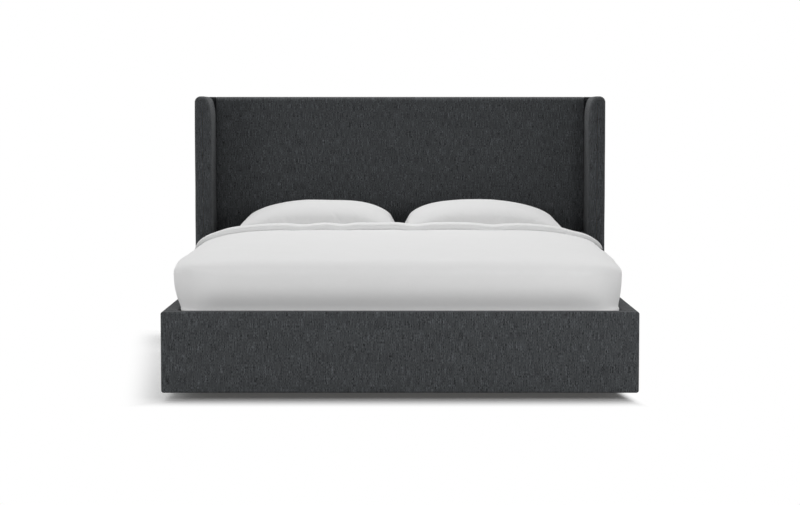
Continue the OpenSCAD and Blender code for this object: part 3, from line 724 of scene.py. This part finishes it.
def duvet_height(u, s, x, y):
    """Height of the duvet's top at share u of its half width and at s behind its front"""
    full = DUVET_TOP_Z - DUVET_WIDE_Z + DUVET_RISE * min(1.0, s / DUVET_L)
    front = NOSE_SHARE * nose(s / NOSE_R) + (1 - NOSE_SHARE) * nose(s / DUVET_SLOPE)
    fall = FALL_POWER + (LEFT_FALL * bell(s, 0, LEFT_FALL_REACH) if x < 0 else 0.0)
    side = (1 - abs(u) ** fall) ** SIDE_POWER
    both = 1 / (1 / front + 1 / side - 1) if front > 0 and side > 0 else 0.0
    puff = ripple((x, y, 0), PUFF, 31) + ripple((x * 2, y, 0), FINE_PUFF, 33)
    hollow = DIP_DEPTH * dip_at(x) * bell(y, BAND_Y, DIP_REACH)
    return DUVET_WIDE_Z + full * both + (puff - hollow) * min(1.0, s / PUFF_START) * side


def stand_out(drop, powers):
    """Share by which the duvet still stands out at a drop from 0, its widest line, to 1, its tuck"""
    return max(0.0, 1 - drop ** powers[0]) ** powers[1]


def duvet(material):
    columns, rows = duvet_columns(), duvet_rows()
    top = np.zeros((len(rows), len(columns), 3))
    under = np.zeros_like(top)
    tuck = np.zeros_like(top)
    for j, s in enumerate(rows):
        for i, column in enumerate(columns):
            half_w = duvet_half_width(DUVET_FRONT_Y + s, -1 if column < 0 else 1)
            x, y = plan_point(column, s, half_w, DUVET_FRONT_Y, DUVET_CORNER_R)
            on_edge = j == 0 or abs(column) == 1
            top[j, i] = x, y, DUVET_WIDE_Z if on_edge else duvet_height(column, s, x, y)
            share = s / DUVET_L
            x, y = plan_point(column, share * (FOLD_Y - UNDER_Y), UNDER_X, UNDER_Y, UNDER_CORNER_R)
            under[j, i] = x, y, SHEET_TOP + UNDER_CLEAR
            x, y = plan_point(column, share * (FOLD_Y - SLOT_Y), TUCK_X, SLOT_Y, TUCK_R)
            tuck[j, i] = x, y, REST_Z + REST_CLEAR
    border = [(j, 0) for j in range(len(rows) - 1, 0, -1)] + [(0, i) for i in range(len(columns))]
    border += [(j, len(columns) - 1) for j in range(1, len(rows))]
    edge = np.array([top[b] for b in border])
    foot = np.array([tuck[b] for b in border])
    inner = np.array([under[b] for b in border])
    skirt = []
    for drop in np.sin(np.linspace(0, math.pi / 2, 19)):
        shares = np.array([stand_out(drop, UNDER_SIDE), stand_out(drop, UNDER_FRONT), 0])
        line = foot + (edge - foot) * shares
        line[:, 2] = DUVET_WIDE_Z - (DUVET_WIDE_Z - foot[:, 2]) * drop
        skirt.append(line)
    hem = foot.copy()
    hem[:, 2] = HEM_Z
    hem_in = inner.copy()
    hem_in[:, 2] = HEM_Z
    walls = [hem, (hem + hem_in) / 2, hem_in, inner]
    walls[1][:, 2] -= HEM_SAG
    skirt = np.array(skirt + walls)
    way = arc_length(edge)
    drop = np.array([arc_length(skirt[:, k]) for k in range(len(border))]).T
    skirt_cloth = np.stack([np.broadcast_to(way, drop.shape), -drop], axis=2)
    back = [top[-1], (top[-1] + under[-1]) / 2, under[-1]]
    back_cloth = [[(p[0], p[2]) for p in row] for row in back]
    patches = [(top, top[:, :, :2]), (skirt, skirt_cloth), (under, under[:, :, :2]), (back, back_cloth)]
    piece = sew("duvet_cotton", patches)
    return place_piece(piece, "duvet", material, "duvet_cotton", "duvet")


# Half widths on the left and on the right
BAND_HALF_W = (0.872, 0.862)
BAND_RISE = 0.027
BAND_SINK = 0.006
BAND_BLUNT = 0.78
BAND_FALL = 0.6
BAND_FALL_POWER = 8
BAND_STEPS = [0, 0.0015, 0.004, 0.008, 0.014, 0.022, 0.033, 0.047, 0.064, 0.084]
BAND_MARGIN = 0.016
BAND_FRONT_LAP = 0.004
BAND_BACK_LAP = 0.003
BAND_DIP = 0.012
BAND_DIP_SHARE = 0.7
BAND_WAVE = (0.005, 0.12)
BAND_PUFF = (0.07, 0.17)
BAND_END_POWER = 12
BAND_DROOP = 0.22
BAND_SQUARE = 0.28


def duvet_band(material):
    """The duvet's upper edge, turned back over it as a soft flap with a wavy free edge"""
    ends = np.array(BAND_STEPS)
    half = np.concatenate([np.linspace(0, 1 - ends[-1], 78)[:-1], 1 - ends[::-1]])
    across = np.concatenate([-half[:0:-1], half])
    turn = np.linspace(0, 2 * math.pi, 49)
    rings = []
    for f in across:
        side = -1 if f < 0 else 1
        reach = BAND_HALF_W[0 if f < 0 else 1]
        x = f * reach
        half_w = duvet_half_width(FOLD_Y, side) + BAND_MARGIN
        ground = duvet_height(min(1.0, abs(x) / half_w), BAND_Y - DUVET_FRONT_Y, x, BAND_Y)
        dip = dip_at(x)
        front = BAND_Y - BAND_FRONT_LAP - BAND_DIP * dip + ripple((x, 0, 0), BAND_WAVE, 41)
        back = FOLD_Y + BAND_BACK_LAP
        taper = (1 - abs(f) ** BAND_END_POWER) ** 0.5
        rise = BAND_RISE * taper * (1 - BAND_DROOP * f * f) * (1 + ripple((x, 0, 0), BAND_PUFF, 43))
        rise *= 1 - BAND_FALL * max(0.0, f) ** BAND_FALL_POWER
        inner_share = min(1.0, abs(x) / (half_w - BAND_MARGIN))
        under = duvet_height(inner_share, BAND_Y - DUVET_FRONT_Y, x, BAND_Y)
        low = under - BAND_SINK - DIP_DEPTH * BAND_DIP_SHARE * dip * taper
        high = ground + rise
        middle, half_d = (front + back) / 2, (back - front) / 2
        ring = []
        for t in turn:
            c, s = math.cos(t), math.sin(t)
            y = middle + half_d * math.copysign(abs(c) ** BAND_SQUARE, c)
            z = (low + high) / 2 + (high - low) / 2 * math.copysign(abs(s) ** BAND_BLUNT, s)
            ring.append((x, y, z))
        rings.append(ring)
    points = np.array(rings)
    around = arc_length(points[len(points) // 2])
    along = points[:, :1, 0] + 0 * around[None, :]
    cloth = np.stack([along, np.broadcast_to(around, along.shape)], axis=2)
    piece = sew("duvet_band_cotton", [(points, cloth)])
    return place_piece(piece, "duvet", material, "duvet_cotton")


# Pillows

PILLOW_DRAW = 0.004
PILLOW_OUTER_DRAW = 0.030
PILLOW_SEAM = 0.078
PILLOW_BELLY = 1.25
PILLOW_INNER_POWER = 3.6
PILLOW_OUTER_POWER = 2.05
PILLOW_SIDE_POWER = 2.5
PILLOW_ROUND = 0.8
PILLOW_UNDER_ROUND = 0.7
PILLOW_SEAM_DROP = 0.45
PILLOW_WAVE = 0.003
PILLOW_WAVE_SIZE = 0.16
PUCKER_DEPTH = 0.003
PUCKER_REACH = 0.03
PUCKER_START = 0.01
PUCKER_SIZE = 0.05
PILLOW_ROOM = 0.016
CLOTH_VOXEL = 0.006
CLOTH_PRESSURE = 4.0
CLOTH_MASS = 0.15
CLOTH_BENDING = 0.2
CLOTH_FRAMES = 20
CLOTH_CAP = 0.011
# Share of each move that is kept along x, y and z
CLOTH_DRAW = (0.4, 0.4, 1.0)


def evaluated(piece):
    return piece.evaluated_get(bpy.context.evaluated_depsgraph_get())


def apply_modifiers(piece):
    """Keeps the mesh that the modifiers make, and takes them off"""
    piece.data = bpy.data.meshes.new_from_object(evaluated(piece))
    piece.modifiers.clear()


def coordinates(mesh):
    return np.array([vert.co for vert in mesh.vertices])


def inflate(piece, low, high):
    """Fills a closed piece by cloth simulation and makes it twice as fine

    A point moves CLOTH_CAP at most, and none leaves the box from low to high.
    """
    scene = bpy.context.scene
    voxels = piece.modifiers.new("voxels", "REMESH")
    voxels.mode = "VOXEL"
    voxels.voxel_size = CLOTH_VOXEL
    apply_modifiers(piece)
    start = coordinates(piece.data)
    filling = piece.modifiers.new("filling", "CLOTH")
    filling.settings.use_pressure = True
    filling.settings.uniform_pressure_force = CLOTH_PRESSURE
    filling.settings.effector_weights.gravity = 0.0
    filling.settings.mass = CLOTH_MASS
    filling.settings.bending_stiffness = CLOTH_BENDING
    filling.point_cache.frame_end = CLOTH_FRAMES
    for number in range(1, CLOTH_FRAMES + 1):
        scene.frame_set(number)
    move = (coordinates(evaluated(piece).data) - start) * CLOTH_DRAW
    length = np.linalg.norm(move, axis=1, keepdims=True)
    move *= np.minimum(1.0, CLOTH_CAP / np.maximum(length, 1e-9))
    piece.modifiers.clear()
    scene.frame_set(1)
    for vert, place in zip(piece.data.vertices, np.clip(start + move, low, high)):
        vert.co = place
    finer = piece.modifiers.new("finer", "SUBSURF")
    finer.levels = finer.render_levels = 1
    apply_modifiers(piece)
    flat = piece.data.uv_layers.new(name=CLOTH_MAP)
    for loop in piece.data.loops:
        flat.data[loop.index].uv = piece.data.vertices[loop.vertex_index].co[:2]
    for face in piece.data.polygons:
        face.use_smooth = True


def pillow(side, material):
    name = side_name(side)
    low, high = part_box(f"pillow_{name}")
    middle = (low + high) / 2
    half_w, half_d, height = (high[0] - low[0]) / 2, (high[1] - low[1]) / 2, high[2] - low[2]
    room = PILLOW_ROOM
    u_stations = np.sin(np.linspace(-math.pi / 2, math.pi / 2, 65))
    v_stations = np.sin(np.linspace(-math.pi / 2, math.pi / 2, 49))

    def point(u, v, upper):
        draw_x = PILLOW_DRAW if u * side < 0 else PILLOW_OUTER_DRAW
        x = half_w * u - math.copysign(draw_x * (1 - v * v) * abs(u) ** 3, u)
        y = half_d * v - math.copysign(PILLOW_DRAW * (1 - u * u) * abs(v) ** 3, v)
        end_power = PILLOW_INNER_POWER if u * side < 0 else PILLOW_OUTER_POWER
        fullness = ((1 - abs(u) ** end_power) * (1 - abs(v) ** PILLOW_SIDE_POWER)) ** PILLOW_ROUND
        seam = PILLOW_SEAM * (1 - PILLOW_SEAM_DROP * u * u * v * v)
        edge = min(half_w * (1 - abs(u)), half_d * (1 - abs(v)))
        pucker = math.exp(-edge / PUCKER_REACH) * min(1, edge / PUCKER_START) * PUCKER_DEPTH
        pleats = pucker * rumple((x * 3, y * 3, side), PUCKER_SIZE, 51)
        wave = pleats + PILLOW_WAVE * fullness * rumple((x, y, side), PILLOW_WAVE_SIZE, 53)
        if upper:
            z = low[2] + seam + (height - PILLOW_SEAM - room) * fullness + wave
            return middle[0] + x, middle[1] + y, z
        z = seam - PILLOW_BELLY * PILLOW_SEAM * fullness**PILLOW_UNDER_ROUND
        return middle[0] + x, middle[1] + y, low[2] + max(0.0, z)

    patches = []
    for upper in (True, False):
        points = np.array([[point(u, v, upper) for u in u_stations] for v in v_stations])
        patches.append((points, points[:, :, :2]))
    piece = sew(f"pillow_{name}_cotton", patches)
    inflate(piece, low, high)
    return place_piece(piece, f"pillow_{name}", material, "pillow_cotton", f"pillow_{name}")


# Stage, light and camera

FLOOR_GREY = 0.5
# Strength of the painted glow that lightens the floor's shadow near the bed for the camera
FLOOR_LIFT = 0.07
SHADOW_LEAN = 0.12
# Where the floor turns plain white: edge and range, left and right, then front and back
FLOOR_SIDES = ((-0.84, -0.14), (0.80, 0.05))
FLOOR_ENDS = ((-1.104, -0.14), (1.1, 0.14))
FLOOR_SPECK = 0.01
SKY_LEVEL = 0.12
SKY_TOP = 1.02
SKY_POWER = 1.5
# Direction of the brightest sky, along y and z
SKY_WAY = (0.55, 0.835)
# Lamps: name, place, target, size in metres, power in watts
LAMPS = [
    ("key", (1.8, -3.3, 1.0), (0.0, -0.8, 0.3), (0.7, 0.7), 26),
    ("front", (-1.6, -3.9, 1.2), (0, -0.8, 0.3), (1.0, 0.9), 20),
    ("right", (4.2, -2.8, 1.4), (0, -0.6, 0.4), (1.5, 1.5), 7),
    ("left", (-4.2, -2.8, 1.4), (0, -0.6, 0.4), (1.5, 1.5), 34),
    ("top", (0, 1.5, 2.4), (0, 0.0, 0.4), (2.6, 0.6), 25),
]
CAMERA_AT = (0.0, -7.824, 0.9868)
CAMERA_PITCH = 3.938
CAMERA_LENS = 86.94


def beyond(net, value, low, high):
    """Share from 0 to 1 by which a value lies past low or high, each given as (edge, range)"""
    shares = []
    for edge, reach in (low, high):
        values = {"Value": value, "From Min": edge, "From Max": edge + reach}
        shares.append(net.add("MapRange", values, interpolation_type="SMOOTHSTEP"))
    return net.math("MAXIMUM", *shares)


def floor():
    """White floor: for the camera it keeps the shadow beside the bed, lightened by a faint painted
    glow, and is plain white further out
    """
    net = Net("floor_white")
    tree, nodes = net.tree, net.tree.nodes
    paths = nodes.new("ShaderNodeLightPath")
    seen = net.math("MAXIMUM", paths.outputs["Is Camera Ray"], paths.outputs["Is Glossy Ray"])
    seen = net.math("MAXIMUM", seen, paths.outputs["Is Transmission Ray"])
    place = net.add("SeparateXYZ", {"Vector": net.place()}).node.outputs
    lean = net.math("MULTIPLY", net.math("SUBTRACT", place[1], FLOOR_ENDS[0][0]), SHADOW_LEAN)
    sides = beyond(net, net.math("ADD", place[0], lean), *FLOOR_SIDES)
    fade = net.math("MAXIMUM", sides, beyond(net, place[1], *FLOOR_ENDS))
    speck = net.noise(net.place(), scale=30, detail=2.0)
    grey = net.spread(speck, FLOOR_GREY - FLOOR_SPECK, FLOOR_GREY + FLOOR_SPECK)
    matt = net.add("BsdfDiffuse", {"Color": net.grey(grey)})
    shown = net.add("BsdfDiffuse", {"Color": rgb(1, 1, 1)})
    # Painted glow: a faint emission that lightens the floor's shadow near the bed for the camera
    painted_glow = net.add("Emission", {"Strength": FLOOR_LIFT})
    white = net.add("Emission", {"Strength": 1.0})
    near = net.add("AddShader", {0: shown, 1: painted_glow})
    camera_side = net.add("MixShader", {0: fade, 1: near, 2: white})
    mixed = net.add("MixShader", {0: seen, 1: matt, 2: camera_side})
    tree.links.new(mixed, nodes["Material Output"].inputs["Surface"])
    nodes.remove(net.shader)
    made = bmesh.new()
    bmesh.ops.create_grid(made, x_segments=1, y_segments=1, size=30)
    mesh = bpy.data.meshes.new("floor")
    made.to_mesh(mesh)
    made.free()
    plane = bpy.data.objects.new("floor", mesh)
    plane.data.materials.append(net.material)
    bpy.context.scene.collection.objects.link(plane)


def world():
    """Studio light that grows towards the ceiling behind the bed, seen as white"""
    sky = bpy.data.worlds.new("studio")
    bpy.context.scene.world = sky
    sky.use_nodes = True
    nodes, links = sky.node_tree.nodes, sky.node_tree.links
    nodes.clear()

    def math_node(operation, a, b):
        node = nodes.new("ShaderNodeMath")
        node.operation = operation
        for socket, value in zip(node.inputs, (a, b)):
            if isinstance(value, bpy.types.NodeSocket):
                links.new(value, socket)
            else:
                socket.default_value = value
        return node.outputs[0]

    paths = nodes.new("ShaderNodeLightPath")
    seen = math_node("MAXIMUM", paths.outputs["Is Camera Ray"], paths.outputs["Is Glossy Ray"])
    seen = math_node("MAXIMUM", seen, paths.outputs["Is Transmission Ray"])
    way = nodes.new("ShaderNodeSeparateXYZ")
    links.new(nodes.new("ShaderNodeTexCoord").outputs["Generated"], way.inputs[0])
    tilted = math_node("MULTIPLY", way.outputs[1], SKY_WAY[0])
    tilted = math_node("ADD", tilted, math_node("MULTIPLY", way.outputs[2], SKY_WAY[1]))
    upward = math_node("POWER", math_node("MAXIMUM", tilted, 0.0), SKY_POWER)
    soft = nodes.new("ShaderNodeBackground")
    strength = math_node("ADD", math_node("MULTIPLY", upward, SKY_TOP), SKY_LEVEL)
    links.new(strength, soft.inputs["Strength"])
    soft.inputs["Color"].default_value = rgb(1, 1, 1)
    white = nodes.new("ShaderNodeBackground")
    white.inputs["Color"].default_value = rgb(1, 1, 1)
    white.inputs["Strength"].default_value = 1.0
    mixed = nodes.new("ShaderNodeMixShader")
    links.new(seen, mixed.inputs[0])
    links.new(soft.outputs[0], mixed.inputs[1])
    links.new(white.outputs[0], mixed.inputs[2])
    out = nodes.new("ShaderNodeOutputWorld")
    links.new(mixed.outputs[0], out.inputs["Surface"])


def lamp(name, at, target, size, power):
    """Area lamp that looks from at to target, unseen by the camera"""
    light = bpy.data.lights.new(name, "AREA")
    light.shape = "RECTANGLE"
    light.size, light.size_y = size
    light.energy = power
    lamp_object = bpy.data.objects.new(name, light)
    lamp_object.location = at
    lamp_object.visible_camera = False
    lamp_object.rotation_euler = (Vector(target) - Vector(at)).to_track_quat("-Z", "Y").to_euler()
    bpy.context.scene.collection.objects.link(lamp_object)


def camera():
    lens = bpy.data.cameras.new("camera")
    lens.sensor_width = 36
    lens.lens = CAMERA_LENS
    lens.clip_end = 200
    body = bpy.data.objects.new("camera", lens)
    body.location = CAMERA_AT
    body.rotation_euler = (math.radians(90 - CAMERA_PITCH), 0, 0)
    bpy.context.scene.collection.objects.link(body)
    bpy.context.scene.camera = body
    bpy.context.scene.view_settings.view_transform = "Standard"


def dress_frame():
    """Materials for the CAD nodes that keep their shape"""
    pine_light, pine_dark = rgb(0.66, 0.47, 0.27), rgb(0.50, 0.31, 0.15)
    across, lengthways, upright = (
        timber(f"timber_pine_{k}", k, pine_light, pine_dark) for k in range(3)
    )
    names = list(frame["nodes"])
    slats = [n for n in names if n.startswith("slat_")]
    dress(slats + ["footboard_board", "headboard_top_rail", "headboard_lower_rail"], across)
    long_boards = ["rail_left_board", "rail_right_board", "ledger_left", "ledger_right"]
    dress(long_boards + ["centre_beam"], lengthways)
    dress(["headboard_stile_left", "headboard_stile_right"], upright)
    dress(["headboard_panel", "wing_left_board", "wing_right_board"], plywood())
    dress([n for n in names if n.endswith("_foam")], foam())
    metal = ["frame_bolts", "beam_hanger_front", "beam_hanger_rear"]
    metal += [n for n in names if n.startswith(("corner_bracket_", "centre_leg_"))]
    dress(metal, steel())
    dress([n for n in names if n.startswith(("foot_", "leveller_"))], black_plastic())
    dress(["headboard_back_panel"], lining())


camera()
world()
floor()
for values in LAMPS:
    lamp(*values)

dress_frame()
charcoal = upholstery()
footboard(charcoal)
headboard(charcoal)
for side in (-1, 1):
    rail(side, charcoal)
    wing(side, charcoal)
mattress(ticking())
fitted_sheet(cotton("sheet_white", rgb(0.80, 0.80, 0.795), rgb(0.78, 0.78, 0.78), 0.0005, 0.05))
duvet_cloth = cotton("duvet_white", rgb(0.82, 0.82, 0.82), rgb(0.80, 0.80, 0.80), 0.0005, 0.05)
duvet(duvet_cloth)
duvet_band(duvet_cloth)
pillow_cloth = cotton("pillow_white", rgb(0.81, 0.81, 0.81), rgb(0.79, 0.79, 0.79), 0.0004, 0.05)
for side in (-1, 1):
    pillow(side, pillow_cloth)
